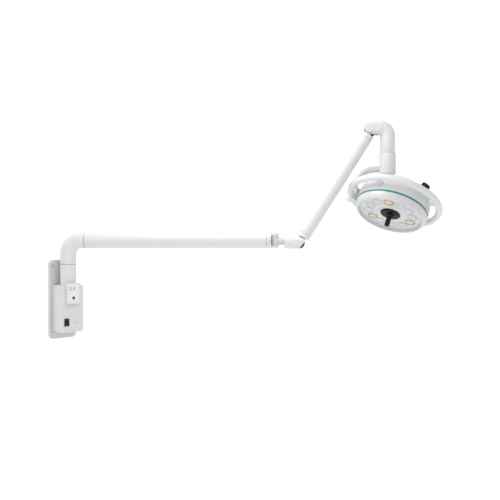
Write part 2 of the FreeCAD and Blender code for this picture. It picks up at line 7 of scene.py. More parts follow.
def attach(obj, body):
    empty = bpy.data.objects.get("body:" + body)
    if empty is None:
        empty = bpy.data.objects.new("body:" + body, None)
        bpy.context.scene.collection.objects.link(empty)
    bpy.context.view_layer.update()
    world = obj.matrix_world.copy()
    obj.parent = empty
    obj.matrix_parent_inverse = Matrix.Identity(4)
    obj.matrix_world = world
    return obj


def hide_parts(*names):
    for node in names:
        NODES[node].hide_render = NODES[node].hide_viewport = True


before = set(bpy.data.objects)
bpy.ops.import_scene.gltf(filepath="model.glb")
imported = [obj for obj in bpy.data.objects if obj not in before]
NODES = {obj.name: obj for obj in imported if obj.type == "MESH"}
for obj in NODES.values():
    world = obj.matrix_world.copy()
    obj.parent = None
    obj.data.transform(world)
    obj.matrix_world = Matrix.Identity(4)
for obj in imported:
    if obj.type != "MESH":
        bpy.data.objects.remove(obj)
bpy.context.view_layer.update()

scene = bpy.context.scene
I4 = Matrix.Identity(4)


# ------------------------------------------------------------------ frames (mm to row metres)
def T(x, y, z):
    return Matrix.Translation((x, y, z))


def R(deg, axis):
    return Matrix.Rotation(math.radians(deg), 4, axis)


MM = Matrix.Scale(0.001, 4)
C45 = math.cos(math.radians(45))
POST_X, ARM_Z = 47.0, 218.0
SP_L = math.hypot(266.0, 421.0)
SP_EL = math.degrees(math.atan2(421.0, 266.0))
NX, NY = POST_X + 1181.4 * C45, 1181.4 * C45
M_ARM = MM @ T(POST_X, 0, 0) @ R(45, "Z")
M_SPRING = M_ARM @ T(854.0, 0, 209.0) @ R(-SP_EL, "Y")
M_NECK = MM @ T(NX, NY, 0)
M_HEAD = MM @ T(NX + 8.0, NY + 31.0, 361.7) @ R(-28.9, "X")
M_POST = MM @ T(POST_X, 0, 0)


# ------------------------------------------------------------------ materials
def new_mat(name):
    m = bpy.data.materials.new(name)
    m.use_nodes = True
    nt = m.node_tree
    for n in list(nt.nodes):
        nt.nodes.remove(n)
    o = nt.nodes.new("ShaderNodeOutputMaterial")
    b = nt.nodes.new("ShaderNodeBsdfPrincipled")
    nt.links.new(b.outputs[0], o.inputs[0])
    return m, nt, b


def coords(nt, scale=(1, 1, 1), rot=(0, 0, 0)):
    t = nt.nodes.new("ShaderNodeTexCoord")
    p = nt.nodes.new("ShaderNodeMapping")
    p.inputs["Scale"].default_value = scale
    p.inputs["Rotation"].default_value = rot
    nt.links.new(t.outputs["Object"], p.inputs[0])
    return p.outputs[0]


def noise(nt, vec, scale, detail=3.0, rough=0.5):
    n = nt.nodes.new("ShaderNodeTexNoise")
    n.inputs["Scale"].default_value = scale
    n.inputs["Detail"].default_value = detail
    n.inputs["Roughness"].default_value = rough
    nt.links.new(vec, n.inputs["Vector"])
    return n.outputs["Fac"]


def maprange(nt, src, a, b, lo=0.3, hi=0.7):
    m = nt.nodes.new("ShaderNodeMapRange")
    m.inputs["From Min"].default_value = lo
    m.inputs["From Max"].default_value = hi
    m.inputs["To Min"].default_value = a
    m.inputs["To Max"].default_value = b
    nt.links.new(src, m.inputs["Value"])
    return m.outputs["Result"]


def mix(nt, fac, a, b):
    m = nt.nodes.new("ShaderNodeMix")
    m.data_type = "RGBA"
    if isinstance(fac, float):
        m.inputs[0].default_value = fac
    else:
        nt.links.new(fac, m.inputs[0])
    for i, v in ((6, a), (7, b)):
        if isinstance(v, tuple):
            m.inputs[i].default_value = (*v[:3], 1)
        else:
            nt.links.new(v, m.inputs[i])
    return m.outputs[2]


def surface(name, col, rough=0.4, metal=0.0, var=0.03, grain=900.0, bump=0.05, dist=0.0003, rvar=0.06,
            coat=0.0, wear=None, spec=0.5, stretch=(1, 1, 1), aniso=0.0):
    """Base colour with slow mottling and fine grain, grain bump, roughness variation and optional edge wear."""
    m, nt, b = new_mat(name)
    v = coords(nt, stretch)
    big = noise(nt, v, 14.0, 3.0)
    fine = noise(nt, v, grain, 4.0, 0.6)
    lo = tuple(max(0.0, c * (1 - var)) for c in col)
    hi = tuple(min(1.0, c * (1 + var)) for c in col)
    c = mix(nt, maprange(nt, big, 0.0, 1.0), lo, hi)
    c = mix(nt, maprange(nt, fine, 0.0, 0.35), c, tuple(x * (1 - 1.6 * var) for x in col))
    if wear is not None:
        g = nt.nodes.new("ShaderNodeNewGeometry")
        e = maprange(nt, g.outputs["Pointiness"], 0.0, 1.0, 0.515, 0.58)
        wn = nt.nodes.new("ShaderNodeMath")
        wn.operation = "MULTIPLY"
        nt.links.new(e, wn.inputs[0])
        nt.links.new(maprange(nt, noise(nt, v, 120.0, 4.0), 0.0, wear[3]), wn.inputs[1])
        c = mix(nt, wn.outputs[0], c, tuple(wear[:3]))
    nt.links.new(c, b.inputs["Base Color"])
    nt.links.new(maprange(nt, noise(nt, v, 45.0, 4.0), max(0.02, rough - rvar), min(1.0, rough + rvar)), b.inputs["Roughness"])
    bp = nt.nodes.new("ShaderNodeBump")
    bp.inputs["Strength"].default_value = bump
    bp.inputs["Distance"].default_value = dist
    nt.links.new(fine, bp.inputs["Height"])
    nt.links.new(bp.outputs[0], b.inputs["Normal"])
    b.inputs["Metallic"].default_value = metal
    b.inputs["Specular IOR Level"].default_value = spec
    b.inputs["Coat Weight"].default_value = coat
    b.inputs["Coat Roughness"].default_value = 0.12
    b.inputs["Anisotropic"].default_value = aniso
    return m


def coat_with_painted_shadow(name, z0):
    """White coat with a painted shadow: near-black below height z0 of the node at rest, standing in for the shade in
    the gap at the joint.
    """
    m = surface(name, (0.66, 0.665, 0.675), 0.4, var=0.015, grain=900, bump=0.05, dist=0.0001, coat=0.1)
    nt = m.node_tree
    b = next(n for n in nt.nodes if n.type == "BSDF_PRINCIPLED")
    src = b.inputs["Base Color"].links[0].from_socket
    sx = nt.nodes.new("ShaderNodeSeparateXYZ")
    nt.links.new(coords(nt), sx.inputs[0])
    # painted shadow: near-black mixed in below z0 in the node's own coordinates, with a 0.8 mm blend
    c = mix(nt, maprange(nt, sx.outputs[2], 0.0, 1.0, z0 - 0.0004, z0 + 0.0004), (0.007, 0.007, 0.008), src)
    nt.links.new(c, b.inputs["Base Color"])
    return m


MAT = {}
MAT["washer"] = surface("grey_washer", (0.36, 0.365, 0.375), 0.5, var=0.04, grain=1200, bump=0.1, dist=0.0001)
# lower tongue: white coat with a painted shadow below 0.211 m
MAT["tongue"] = coat_with_painted_shadow("lower_tongue_painted_shadow", 0.211)
MAT["white"] = surface("white_powder_coat", (0.68, 0.69, 0.70), 0.34, var=0.012, grain=700, bump=0.025, dist=0.0001, coat=0.2,
                       wear=(0.60, 0.61, 0.62, 0.25))
MAT["white_arm"] = surface("white_gloss_lacquer", (0.665, 0.675, 0.685), 0.34, var=0.010, grain=600, bump=0.02, dist=0.0001, coat=0.12)
MAT["white_box"] = surface("white_moulded_box", (0.655, 0.65, 0.67), 0.42, var=0.012, grain=900, bump=0.05, dist=0.0001, coat=0.08)
MAT["plate"] = surface("white_plate_coat", (0.60, 0.60, 0.615), 0.42, var=0.014, grain=900, bump=0.05, dist=0.0001, coat=0.08)
MAT["shell"] = surface("white_shell_lacquer", (0.66, 0.66, 0.675), 0.30, var=0.005, grain=500, bump=0.008, dist=0.0001, rvar=0.02, coat=0.2)
MAT["grey"] = surface("light_grey_plastic", (0.70, 0.70, 0.715), 0.42, var=0.02, grain=2400, bump=0.18, dist=0.0002)
MAT["face"] = surface("face_satin_grey", (0.62, 0.625, 0.64), 0.36, var=0.02, grain=2600, bump=0.14, dist=0.0002, coat=0.15)
MAT["bezel"] = surface("bezel_white", (0.60, 0.60, 0.615), 0.28, var=0.012, grain=1200, bump=0.03, dist=0.0001, coat=0.3)
MAT["cap"] = surface("cap_grey_plastic", (0.66, 0.665, 0.675), 0.4, var=0.02, grain=2200, bump=0.15, dist=0.0002)
MAT["black"] = surface("matt_black_plastic", (0.007, 0.007, 0.008), 0.46, var=0.25, grain=1800, bump=0.2, dist=0.0001, spec=0.22,
                       wear=(0.05, 0.05, 0.053, 0.35))
MAT["black_gloss"] = surface("gloss_black_plastic", (0.007, 0.008, 0.009), 0.2, var=0.2, grain=1200, bump=0.05, dist=0.0001, spec=0.3, coat=0.1)
MAT["rubber"] = surface("black_rubber", (0.03, 0.03, 0.032), 0.7, var=0.2, grain=1800, bump=0.4, dist=0.0002)
MAT["steel"] = surface("brushed_steel", (0.58, 0.585, 0.60), 0.26, 1.0, var=0.04, grain=500, bump=0.12, dist=0.0001, stretch=(1, 1, 14), aniso=0.4)
MAT["alu"] = surface("satin_anodised", (0.66, 0.67, 0.68), 0.30, 1.0, var=0.03, grain=1300, bump=0.10, dist=0.0001)
MAT["barrel"] = surface("barrel_grey_coat", (0.55, 0.57, 0.60), 0.5, var=0.03, grain=900, bump=0.08, dist=0.0001)
MAT["cast"] = surface("die_cast_aluminium", (0.60, 0.61, 0.62), 0.5, 1.0, var=0.06, grain=800, bump=0.4, dist=0.0003)
MAT["bronze"] = surface("bearing_bronze", (0.62, 0.43, 0.20), 0.4, 1.0, var=0.08, grain=1400, bump=0.3, dist=0.0002)
MAT["gold"] = surface("satin_gold", (0.52, 0.39, 0.22), 0.34, 0.85, var=0.05, grain=1500, bump=0.08, dist=0.0001)
MAT["teal"] = surface("teal_band", (0.010, 0.215, 0.18), 0.30, var=0.05, grain=1500, bump=0.06, dist=0.0001, coat=0.3)
MAT["film"] = surface("panel_film", (0.74, 0.745, 0.76), 0.22, var=0.01, grain=3000, bump=0.05, dist=0.0001, coat=0.2)
MAT["ink"] = surface("panel_ink", (0.045, 0.05, 0.06), 0.5, var=0.1, grain=3000, bump=0.05, dist=0.0001)
MAT["button"] = surface("button_grey", (0.03, 0.03, 0.034), 0.35, var=0.1, grain=2000, bump=0.1, dist=0.0001, coat=0.2)
MAT["pcb"] = surface("white_solder_mask", (0.75, 0.76, 0.74), 0.35, var=0.03, grain=900, bump=0.05, dist=0.0001)
MAT["rim"] = surface("satin_grey_rim", (0.60, 0.605, 0.62), 0.35, 0.1, var=0.03, grain=900, bump=0.05, dist=0.0001)
MAT["phosphor"] = surface("yellow_phosphor", (0.85, 0.62, 0.10), 0.4, var=0.08, grain=3000, bump=0.2, dist=0.0001)
MAT["mark"] = surface("grey_mark", (0.10, 0.10, 0.105), 0.5, var=0.03, grain=3000, bump=0.1, dist=0.0001)


def optic(name, col, rough, trans):
    m, nt, b = new_mat(name)
    v = coords(nt)
    f = noise(nt, v, 320.0, 3.0)
    nt.links.new(mix(nt, maprange(nt, f, 0.0, 1.0), tuple(c * 0.96 for c in col), col), b.inputs["Base Color"])
    nt.links.new(maprange(nt, f, rough * 0.7, rough * 1.3), b.inputs["Roughness"])
    bp = nt.nodes.new("ShaderNodeBump")
    bp.inputs["Strength"].default_value = 0.15
    bp.inputs["Distance"].default_value = 0.0003
    nt.links.new(noise(nt, v, 600.0, 2.0), bp.inputs["Height"])
    nt.links.new(bp.outputs[0], b.inputs["Normal"])
    b.inputs["Transmission Weight"].default_value = trans
    b.inputs["IOR"].default_value = 1.49
    return m


MAT["optic"] = optic("clear_optic", (0.86, 0.875, 0.885), 0.16, 0.35)
MAT["optic_gold"] = optic("warm_optic", (0.93, 0.84, 0.66), 0.16, 0.35)
MAT["pilot"] = optic("pale_red_lens", (0.90, 0.55, 0.60), 0.25, 0.15)

WHITE = "post_socket wall_elbow arm_tube lower_collar spring_arm_tube upper_collar neck_elbow neck_sleeve sleeve_end_cap bow ring_handle"
COAT = "arm_fork knuckle_body neck_fork ring_brackets pivot_fork"
USE = {}
for k, names in {
    "white_arm": WHITE, "white": COAT, "white_box": "housing", "plate": "wall_plate", "shell": "upper_shell",
    "steel": "fork_screws wall_screws post_bracket lift_pin neck_pin yaw_pin tilt_pin swivel_spindle neck_spindle",
    "alu": "lens_rims", "barrel": "yaw_barrel", "cast": "heat_sink", "rubber": "cable_grommet", "washer": "thrust_washer", "rim": "neck_seam_ring", "tongue": "lower_tongue",
    "bronze": "post_bushes sleeve_bush", "cap": "lift_caps neck_caps", "film": "panel_overlay", "grey": "control_panel",
    "bezel": "lower_bezel", "face": "face_panel", "ink": "panel_icons",
    "black": "driver_module rocker_frame upper_tongue handle_hub handle_grip adjuster_knob knob_boss",
    "black_gloss": "rocker", "button": "panel_button", "pilot": "indicator_lens", "teal": "green_ring", "gold": "gold_rims",
    "optic_gold": "gold_lenses", "optic": "clear_lenses", "pcb": "led_board", "phosphor": "led_chips"}.items():
    for n in names.split():
        USE[n] = k
for n, o in NODES.items():
    m = MAT[USE[n]]
    if not o.data.materials:
        o.data.materials.append(m)
    for i in range(len(o.material_slots)):
        o.material_slots[i].material = m


# ------------------------------------------------------------------ mesh helpers
def piece(name, bm, body, mat, reps=(), sharp=32, weld=1e-6):
    if weld:
        bmesh.ops.remove_doubles(bm, verts=bm.verts, dist=weld)
    bmesh.ops.recalc_face_normals(bm, faces=bm.faces)
    me = bpy.data.meshes.new(name)
    bm.to_mesh(me)
    bm.free()
    for p in me.polygons:
        p.use_smooth = True
    me.set_sharp_from_angle(angle=math.radians(sharp))
    ob = bpy.data.objects.new(name, me)
    scene.collection.objects.link(ob)
    me.materials.append(MAT[mat])
    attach(ob, body)
    if reps:
        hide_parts(*reps)
    return ob


def rnd(pts, r, n=4, closed=True):
    """Rounds the corners of a profile. r is one radius or one for each point."""
    out = []
    N = len(pts)
    for i in range(N):
        p = Vector(pts[i])
        ri = r[i] if isinstance(r, (list, tuple)) else r
        if ri <= 0 or (not closed and i in (0, N - 1)):
            out.append(tuple(p))
            continue
        a = Vector(pts[i - 1]) - p
        b = Vector(pts[(i + 1) % N]) - p
        ca = min(ri, a.length * 0.45)
        cb = min(ri, b.length * 0.45)
        A, B = p + a.normalized() * ca, p + b.normalized() * cb
        for k in range(n + 1):
            t = k / n
            out.append(tuple(A * (1 - t) ** 2 + p * 2 * t * (1 - t) + B * t * t))
    return out


def lathe(bm, prof, M, seg=96, closed=True, radial=None):
    """Turns (r, z) pairs about local z. radial(r, z, angle) may change the radius."""
    rings = []
    for r, z in prof:
        if abs(r) < 1e-6:
            rings.append([bm.verts.new(M @ Vector((0, 0, z)))])
            continue
        ring = []
        for k in range(seg):
            a = 2 * math.pi * k / seg
            rr = radial(r, z, a) if radial else r
            ring.append(bm.verts.new(M @ Vector((rr * math.cos(a), rr * math.sin(a), z))))
        rings.append(ring)
    n = len(prof)
    for i in range(n if closed else n - 1):
        a, b = rings[i], rings[(i + 1) % n]
        if len(a) == 1 and len(b) == 1:
            continue
        for k in range(seg):
            k2 = (k + 1) % seg
            if len(a) == 1:
                bm.faces.new((a[0], b[k2], b[k]))
            elif len(b) == 1:
                bm.faces.new((a[k], a[k2], b[0]))
            else:
                bm.faces.new((a[k], a[k2], b[k2], b[k]))


def sweep(bm, path, M, seg=64):
    """Tube with closed ends along [(point, radius), ...] with its own frames."""
    pts = [Vector(p) for p, _ in path]
    rad = [r for _, r in path]
    rings = []
    up = Vector((0, 1, 0))
    prev = None
    for i, p in enumerate(pts):
        t = (pts[min(i + 1, len(pts) - 1)] - pts[max(i - 1, 0)]).normalized()
        side = up if abs(t.dot(up)) < 0.9 else Vector((1, 0, 0))
        if prev is not None:
            side = prev
        n1 = (side - t * side.dot(t)).normalized()
        prev = n1
        n2 = t.cross(n1)
        rings.append([bm.verts.new(M @ (p + (n1 * math.cos(2 * math.pi * k / seg) + n2 * math.sin(2 * math.pi * k / seg)) * rad[i]))
                      for k in range(seg)])
    for i in range(len(rings) - 1):
        a, b = rings[i], rings[i + 1]
        for k in range(seg):
            k2 = (k + 1) % seg
            bm.faces.new((a[k], a[k2], b[k2], b[k]))
    for ring, p in ((rings[0], pts[0]), (rings[-1], pts[-1])):
        c = bm.verts.new(M @ p)
        for k in range(seg):
            bm.faces.new((ring[k], ring[(k + 1) % seg], c))


def rrect(hw, hh, r, n=6):
    """Loop of a rounded rectangle, as (a, b) pairs."""
    out = []
    r = max(0.01, min(r, hw * 0.999, hh * 0.999))
    for cx, cy, a0 in ((hw - r, hh - r, 0), (-hw + r, hh - r, 90), (-hw + r, -hh + r, 180), (hw - r, -hh + r, 270)):
        for k in range(n + 1):
            a = math.radians(a0 + 90 * k / n)
            out.append((cx + r * math.cos(a), cy + r * math.sin(a)))
    return out


def loft(bm, layers, M, n=6):
    """layers: (x, centre y, centre z, half width, half height, corner radius), joined and closed at both ends."""
    rings = []
    for x, cy, cz, hw, hh, r in layers:
        rings.append([bm.verts.new(M @ Vector((x, cy + a, cz + b))) for a, b in rrect(hw, hh, r, n)])
    for i in range(len(rings) - 1):
        a, b = rings[i], rings[i + 1]
        m = len(a)
        for k in range(m):
            k2 = (k + 1) % m
            bm.faces.new((a[k], a[k2], b[k2], b[k]))
    bm.faces.new(rings[0])
    bm.faces.new(list(reversed(rings[-1])))


def spline(pts, n=8):
    """Catmull-Rom through (r, z) pairs."""
    P = [Vector(p) for p in pts]
    P = [P[0] * 2 - P[1]] + P + [P[-1] * 2 - P[-2]]
    out = []
    for i in range(1, len(P) - 2):
        for k in range(n):
            t = k / n
            a, b, c, d = P[i - 1], P[i], P[i + 1], P[i + 2]
            q = 0.5 * ((2 * b) + (c - a) * t + (2 * a - 5 * b + 4 * c - d) * t * t + (3 * b - a - 3 * c + d) * t ** 3)
            out.append((max(0.0, q.x), q.y))
    out.append(tuple(P[-2]))
    return out


def bend_path(prefix, centre, rad, a0, a1, n, suffix, axis_x=(1, 0, 0), axis_z=(0, 0, 1), r=10.0):
    cx, cz = Vector(axis_x), Vector(axis_z)
    mid = []
    for k in range(n + 1):
        a = math.radians(a0 + (a1 - a0) * k / n)
        mid.append((tuple(Vector(centre) + cx * rad * math.cos(a) + cz * rad * math.sin(a)), r))
    return prefix + mid + suffix


# ------------------------------------------------------------------ camera, light, floor
cam = bpy.data.cameras.new("camera")
cam.angle = math.radians(42.15)
cam_o = bpy.data.objects.new("camera", cam)
scene.collection.objects.link(cam_o)
cam_o.location = (2.2197, -1.2214, 0.1827)
cam_o.rotation_euler = Vector((-0.70710678, 0.70710678, 0)).to_track_quat("-Z", "Y").to_euler()
cam.clip_end = 100
scene.camera = cam_o

world = bpy.data.worlds.new("studio")
world.use_nodes = True
scene.world = world
wn = world.node_tree
for n in list(wn.nodes):
    wn.nodes.remove(n)
wo = wn.nodes.new("ShaderNodeOutputWorld")
bg1 = wn.nodes.new("ShaderNodeBackground")
bg2 = wn.nodes.new("ShaderNodeBackground")
lp = wn.nodes.new("ShaderNodeLightPath")
mx = wn.nodes.new("ShaderNodeMixShader")
bg1.inputs["Strength"].default_value = 1.0
wt = wn.nodes.new("ShaderNodeTexCoord")
wd = wn.nodes.new("ShaderNodeVectorMath")
wd.operation = "DOT_PRODUCT"
wd.inputs[1].default_value = (-0.45, -0.45, 0.77)
wr = wn.nodes.new("ShaderNodeMapRange")
wr.inputs["From Min"].default_value = -1.0
wr.inputs["From Max"].default_value = 1.0
wr.inputs["To Min"].default_value = 0.34
wr.inputs["To Max"].default_value = 1.20
wn.links.new(wt.outputs["Generated"], wd.inputs[0])
wn.links.new(wd.outputs["Value"], wr.inputs["Value"])
wn.links.new(wr.outputs["Result"], bg1.inputs["Color"])
bg2.inputs["Color"].default_value = (1, 1, 1, 1)
bg2.inputs["Strength"].default_value = 1.05
wn.links.new(lp.outputs["Is Camera Ray"], mx.inputs[0])
wn.links.new(bg1.outputs[0], mx.inputs[1])
wn.links.new(bg2.outputs[0], mx.inputs[2])
wn.links.new(mx.outputs[0], wo.inputs[0])
scene.view_settings.view_transform = "Standard"


def area(name, loc, target, size, power, col=(1, 1, 1)):
    l = bpy.data.lights.new(name, "AREA")
    l.shape = "DISK"
    l.size = size
    l.energy = power
    l.color = col
    o = bpy.data.objects.new(name, l)
    scene.collection.objects.link(o)
    o.location = loc
    o.rotation_euler = (Vector(target) - Vector(loc)).to_track_quat("-Z", "Y").to_euler()
    return o


KEY = area("key", (0.60, 0.22, 0.98), (0.44, 0.42, 0.25), 0.7, 5.0)
KEY.visible_camera = False

bm = bmesh.new()
bmesh.ops.create_grid(bm, x_segments=8, y_segments=8, size=400)
me = bpy.data.meshes.new("floor")
bm.to_mesh(me)
bm.free()
floor = bpy.data.objects.new("floor", me)
floor.location = (0.5, 0.5, -0.95)
scene.collection.objects.link(floor)
fm, fnt, fb = new_mat("floor_white")
fv = coords(fnt)
fnt.links.new(mix(fnt, maprange(fnt, noise(fnt, fv, 3.0), 0.0, 1.0), (0.93, 0.93, 0.93), (0.95, 0.95, 0.95)), fb.inputs["Base Color"])
fb.inputs["Roughness"].default_value = 0.9
fb.inputs["Emission Color"].default_value = (1, 1, 1, 1)
fb.inputs["Emission Strength"].default_value = 0.12
me.materials.append(fm)

# ------------------------------------------------------------------ head
OUT_P = [(131.0, 0.5), (129.6, 14), (124.5, 32), (114.5, 45.5), (100, 53.5), (75, 57.6), (40, 59.6), (0, 60.0)]
dome = spline(OUT_P, 6)
inner = [(max(0.0, r - 2.6), z - 2.4) for r, z in dome[:-1]] + [(0, 57.2)]
bm = bmesh.new()
prof = [(130.2, -28.9), (132.6, -28.9), (133.0, -28.5), (133.0, -2.4), (132.7, -1.9), (131.6, -1.7), (131.35, -1.2), (131.35, -0.4)]
prof += dome + list(reversed(inner)) + [(130.2, -6.0)]
lathe(bm, prof, M_HEAD, 192)
piece("upper_shell_skin", bm, "head", "shell", ["upper_shell"], sharp=40)

bm = bmesh.new()
lathe(bm, rnd([(127, -36.4), (133.5, -36.4), (133.5, -29.0), (127, -29.0)], [0.3, 1.6, 1.6, 0.3], 5), M_HEAD, 192)
piece("green_band", bm, "head", "teal", ["green_ring"])

bez = spline([(133, -36.5), (132.6, -44), (130.6, -52), (126.8, -58.6), (122.5, -62.2)], 8)
prof = [(129.2, -36.5)] + bez + [(121.0, -62.55), (119.7, -62.4), (118.7, -61.7), (118.2, -60.7), (117.2, -51.0), (116.9, -50.3), (116.2, -50.05),
                                 (113, -50.05), (113, -48.4), (117, -46.95), (125, -44)]
bm = bmesh.new()
lathe(bm, prof, M_HEAD, 192)
piece("bezel_skin", bm, "head", "bezel", ["lower_bezel"], sharp=40)


# face: flat satin panel with holes for the centre hub and the lenses
LENS = [(82.0 * math.cos(math.radians(25 + 30 * i)), 82.0 * math.sin(math.radians(25 + 30 * i)), i in (1, 5, 9)) for i in range(12)]
bm = bmesh.new()
ring_in = [(30.2 * math.cos(2 * math.pi * k / 96), 30.2 * math.sin(2 * math.pi * k / 96)) for k in range(96)]
ring_out = [(112.9 * math.cos(2 * math.pi * k / 192), 112.9 * math.sin(2 * math.pi * k / 192)) for k in range(192)]
loops = [ring_out, ring_in] + [[(x + 16.9 * math.cos(2 * math.pi * k / 48), y + 16.9 * math.sin(2 * math.pi * k / 48)) for k in range(48)] for x, y, g in LENS]
vb, edges = [], []
for lp in loops:
    vs = [bm.verts.new(Vector((x, y, -50.9))) for x, y in lp]
    vb.append(vs)
    for k in range(len(vs)):
        edges.append(bm.edges.new((vs[k], vs[(k + 1) % len(vs)])))
bmesh.ops.triangle_fill(bm, use_beauty=True, use_dissolve=False, edges=edges)
top = list(bm.faces)
ext = bmesh.ops.extrude_face_region(bm, geom=top)
for v in [g for g in ext["geom"] if isinstance(g, bmesh.types.BMVert)]:
    v.co.z = -48.1
bm.transform(M_HEAD)
piece("face_plate", bm, "head", "face", ["face_panel"], sharp=25)

# lens rims and domed optics
for gold in (True, False):
    bm = bmesh.new()
    for x, y, g in LENS:
        if g != gold:
            continue
        P = M_HEAD @ T(x, y, 0)
        lathe(bm, rnd([(15.45, -53.2), (17.6, -53.2), (18.7, -52.3), (18.7, -51.03), (16.8, -51.03), (16.8, -46.5), (15.45, -46.5)],
                      [0.4, 0.9, 0.9, 0.2, 0, 0.2, 0.2], 3), P, 48)
    piece("rims_gold" if gold else "rims_plain", bm, "head", "gold" if gold else "rim",
          ["gold_rims" if gold else "lens_rims"], sharp=40)
    bm = bmesh.new()
    for x, y, g in LENS:
        if g != gold:
            continue
        P = M_HEAD @ T(x, y, 0)
        prof = [(0, -46.5), (4.6, -46.5), (4.9, -46.2), (9.0, -46.5), (15.2, -46.5), (15.4, -46.8), (15.4, -51.6)]
        prof += [(15.0, -52.0)] + [(r, -54.5 + 0.0107 * r * r + (0.10 if k % 2 else 0.0)) for k, r in enumerate((14.2, 13.0, 11.8, 10.6, 9.4, 8.2, 7.0, 5.8))]
        prof += [(5.0, -54.2), (2.5, -54.45), (0, -54.5)]
        lathe(bm, prof, P, 48, closed=False)
    piece("optics_gold" if gold else "optics_plain", bm, "head",
          "optic_gold" if gold else "optic", ["gold_lenses" if gold else "clear_lenses"], sharp=50)

# centre hub, turning grip with ribs
bm = bmesh.new()
lathe(bm, rnd([(8.26, -56.5), (24, -57.0), (32.6, -56.3), (37.0, -53.5), (37.0, -51.03), (30.0, -51.03), (30.0, -44), (8.26, -44)],
              [0.4, 3, 3, 1.2, 0.4, 0, 0.5, 0.3], 4), M_HEAD, 96)
lathe(bm, rnd([(30.0, -56.4), (30.0, -57.1), (31.2, -57.1), (31.2, -56.4)], 0.3, 2), M_HEAD, 96)
piece("hub_cover", bm, "head", "black", ["handle_hub"], sharp=35)

bm = bmesh.new()
grip = [(0, -103), (6.2, -103), (7.8, -102.4), (8.8, -101.2), (9.25, -99.4), (9.3, -97.6)]
z = -96.4
while z < -68.0:
    grip += [(9.3, z), (9.3, z + 1.3), (8.75, z + 1.6), (8.75, z + 2.4), (9.3, z + 2.7)]
    z += 4.0
grip += [(9.3, -65.5), (9.9, -64.0), (12.4, -62.6), (13.3, -61.6), (13.5, -60.6), (13.5, -57.4), (13.1, -56.9), (8.2, -56.9), (8.2, -46.2), (8.0, -46), (0, -46)]


def flute(r, z, a):
    return r - (0.35 * max(0.0, math.cos(10 * a)) if -98 < z < -66 and r > 9.2 else 0.0)


lathe(bm, grip, M_HEAD, 120, radial=flute)
piece("grip_sleeve", bm, "grip", "black", ["handle_grip"], sharp=35)

# ring handle
bm = bmesh.new()
NU, NV = 288, 40
vs = [[bm.verts.new(M_HEAD @ Vector(((166 + 12 * math.cos(b)) * math.cos(a), (166 + 12 * math.cos(b)) * math.sin(a), 12 * math.sin(b))))
       for b in [2 * math.pi * j / NV for j in range(NV)]] for a in [2 * math.pi * i / NU for i in range(NU)]]
for i in range(NU):
    for j in range(NV):
        i2, j2 = (i + 1) % NU, (j + 1) % NV
        bm.faces.new((vs[i][j], vs[i2][j], vs[i2][j2], vs[i][j2]))
piece("ring_skin", bm, "head", "white_arm", ["ring_handle"])

# adjuster knob
KN = M_HEAD @ T(110, -2, 49) @ Vector((0, 0, 1)).rotation_difference(Vector((0.5, 0, 0.866))).to_matrix().to_4x4()
bm = bmesh.new()


def knurl(r, z, a):
    c = max(0.0, math.cos(12 * a))
    return r - (1.5 * c ** 1.5 if r > 13 else 0.0)


lathe(bm, rnd([(4.06, 4.9), (14.6, 4.9), (15.9, 5.9), (15.9, 16.6), (14.4, 18.7), (11.0, 18.9), (10.4, 18.2), (0, 18.2), (0, 13.5), (4.06, 13.5)],
              [0, 0.5, 0.8, 1.2, 0.8, 0.5, 0.4, 0, 0, 0], 3), KN, 144, radial=knurl)
piece("knob_cap", bm, "knob", "black", ["adjuster_knob"], sharp=35)


# ------------------------------------------------------------------ arms
def straight(name, M, x0, x1, z, rad, body, mat, reps, e=0.5, marks=()):
    path = [((x0, 0, z), rad - e * 1.4), ((x0 + 0.02, 0, z), rad - e), ((x0 + e * 0.4, 0, z), rad - e * 0.3), ((x0 + e, 0, z), rad)]
    n = max(2, int((x1 - x0) / 12))
    for k in range(1, n):
        path.append(((x0 + e + (x1 - x0 - 2 * e) * k / n, 0, z), rad))
    path += [((x1 - e, 0, z), rad), ((x1 - e * 0.4, 0, z), rad - e * 0.3), ((x1 - 0.02, 0, z), rad - e), ((x1, 0, z), rad - e * 1.4)]
    b = bmesh.new()
    sweep(b, path, M, 96)
    return piece(name, b, body, mat, reps)


straight("arm_tube_skin", M_ARM, 63.7, 733.25, ARM_Z, 28.7, "main_arm", "white_arm", ["arm_tube"])
straight("spring_tube_skin", M_SPRING, 40.4, SP_L - 40.4, 0, 25.0, "spring_arm", "white_arm", ["spring_arm_tube"])


def bend(name, M, pre, centre, rad, a0, a1, post, r, body, reps, mat="white_arm", e=0.5, n=40, taper=(True, True)):
    pts = [Vector(p) for p in pre]
    for k in range(n + 1):
        a = math.radians(a0 + (a1 - a0) * k / n)
        pts.append(Vector((centre[0] + rad * math.cos(a), centre[1], centre[2] + rad * math.sin(a))))
    pts += [Vector(p) for p in post]
    path = [(tuple(p), r) for p in pts]
    if taper[0]:
        d = (pts[1] - pts[0]).normalized()
        path = [(tuple(pts[0]), r - e), (tuple(pts[0] + d * e * 0.4), r - e * 0.3), (tuple(pts[0] + d * e), r)] + path[1:]
    if taper[1]:
        d = (pts[-1] - pts[-2]).normalized()
        path = path[:-1] + [(tuple(pts[-1] - d * e), r), (tuple(pts[-1] - d * e * 0.4), r - e * 0.3), (tuple(pts[-1]), r - e)]
    b = bmesh.new()
    sweep(b, path, M, 96)
    return piece(name, b, body, mat, reps)


bend("wall_elbow_skin", M_ARM, [(0, 0, 130.6), (0, 0, 150)], (48, 0, 170), 48, 180, 90, [(61.9, 0, 218)], 28.7, "main_arm", ["wall_elbow"])
S = 1181.4
bend("neck_elbow_skin", M_ARM, [(1153.05, 0, 633.5)], (S - 28, 0, 605.5), 28, 90, 0, [(S, 0, 580), (S, 0, 541.6)], 27.0, "neck", ["neck_elbow"])
bm = bmesh.new()
lathe(bm, rnd([(16.0, 539.7), (30.0, 539.7), (30.0, 465.0), (26.0, 465.0), (26.0, 530.0), (16.0, 530.0)], [0.3, 1.4, 0.5, 0.3, 0.3, 0.3], 4), M_NECK, 128)
piece("sleeve_skin", bm, "bow_arm", "white_arm", ["neck_sleeve"])


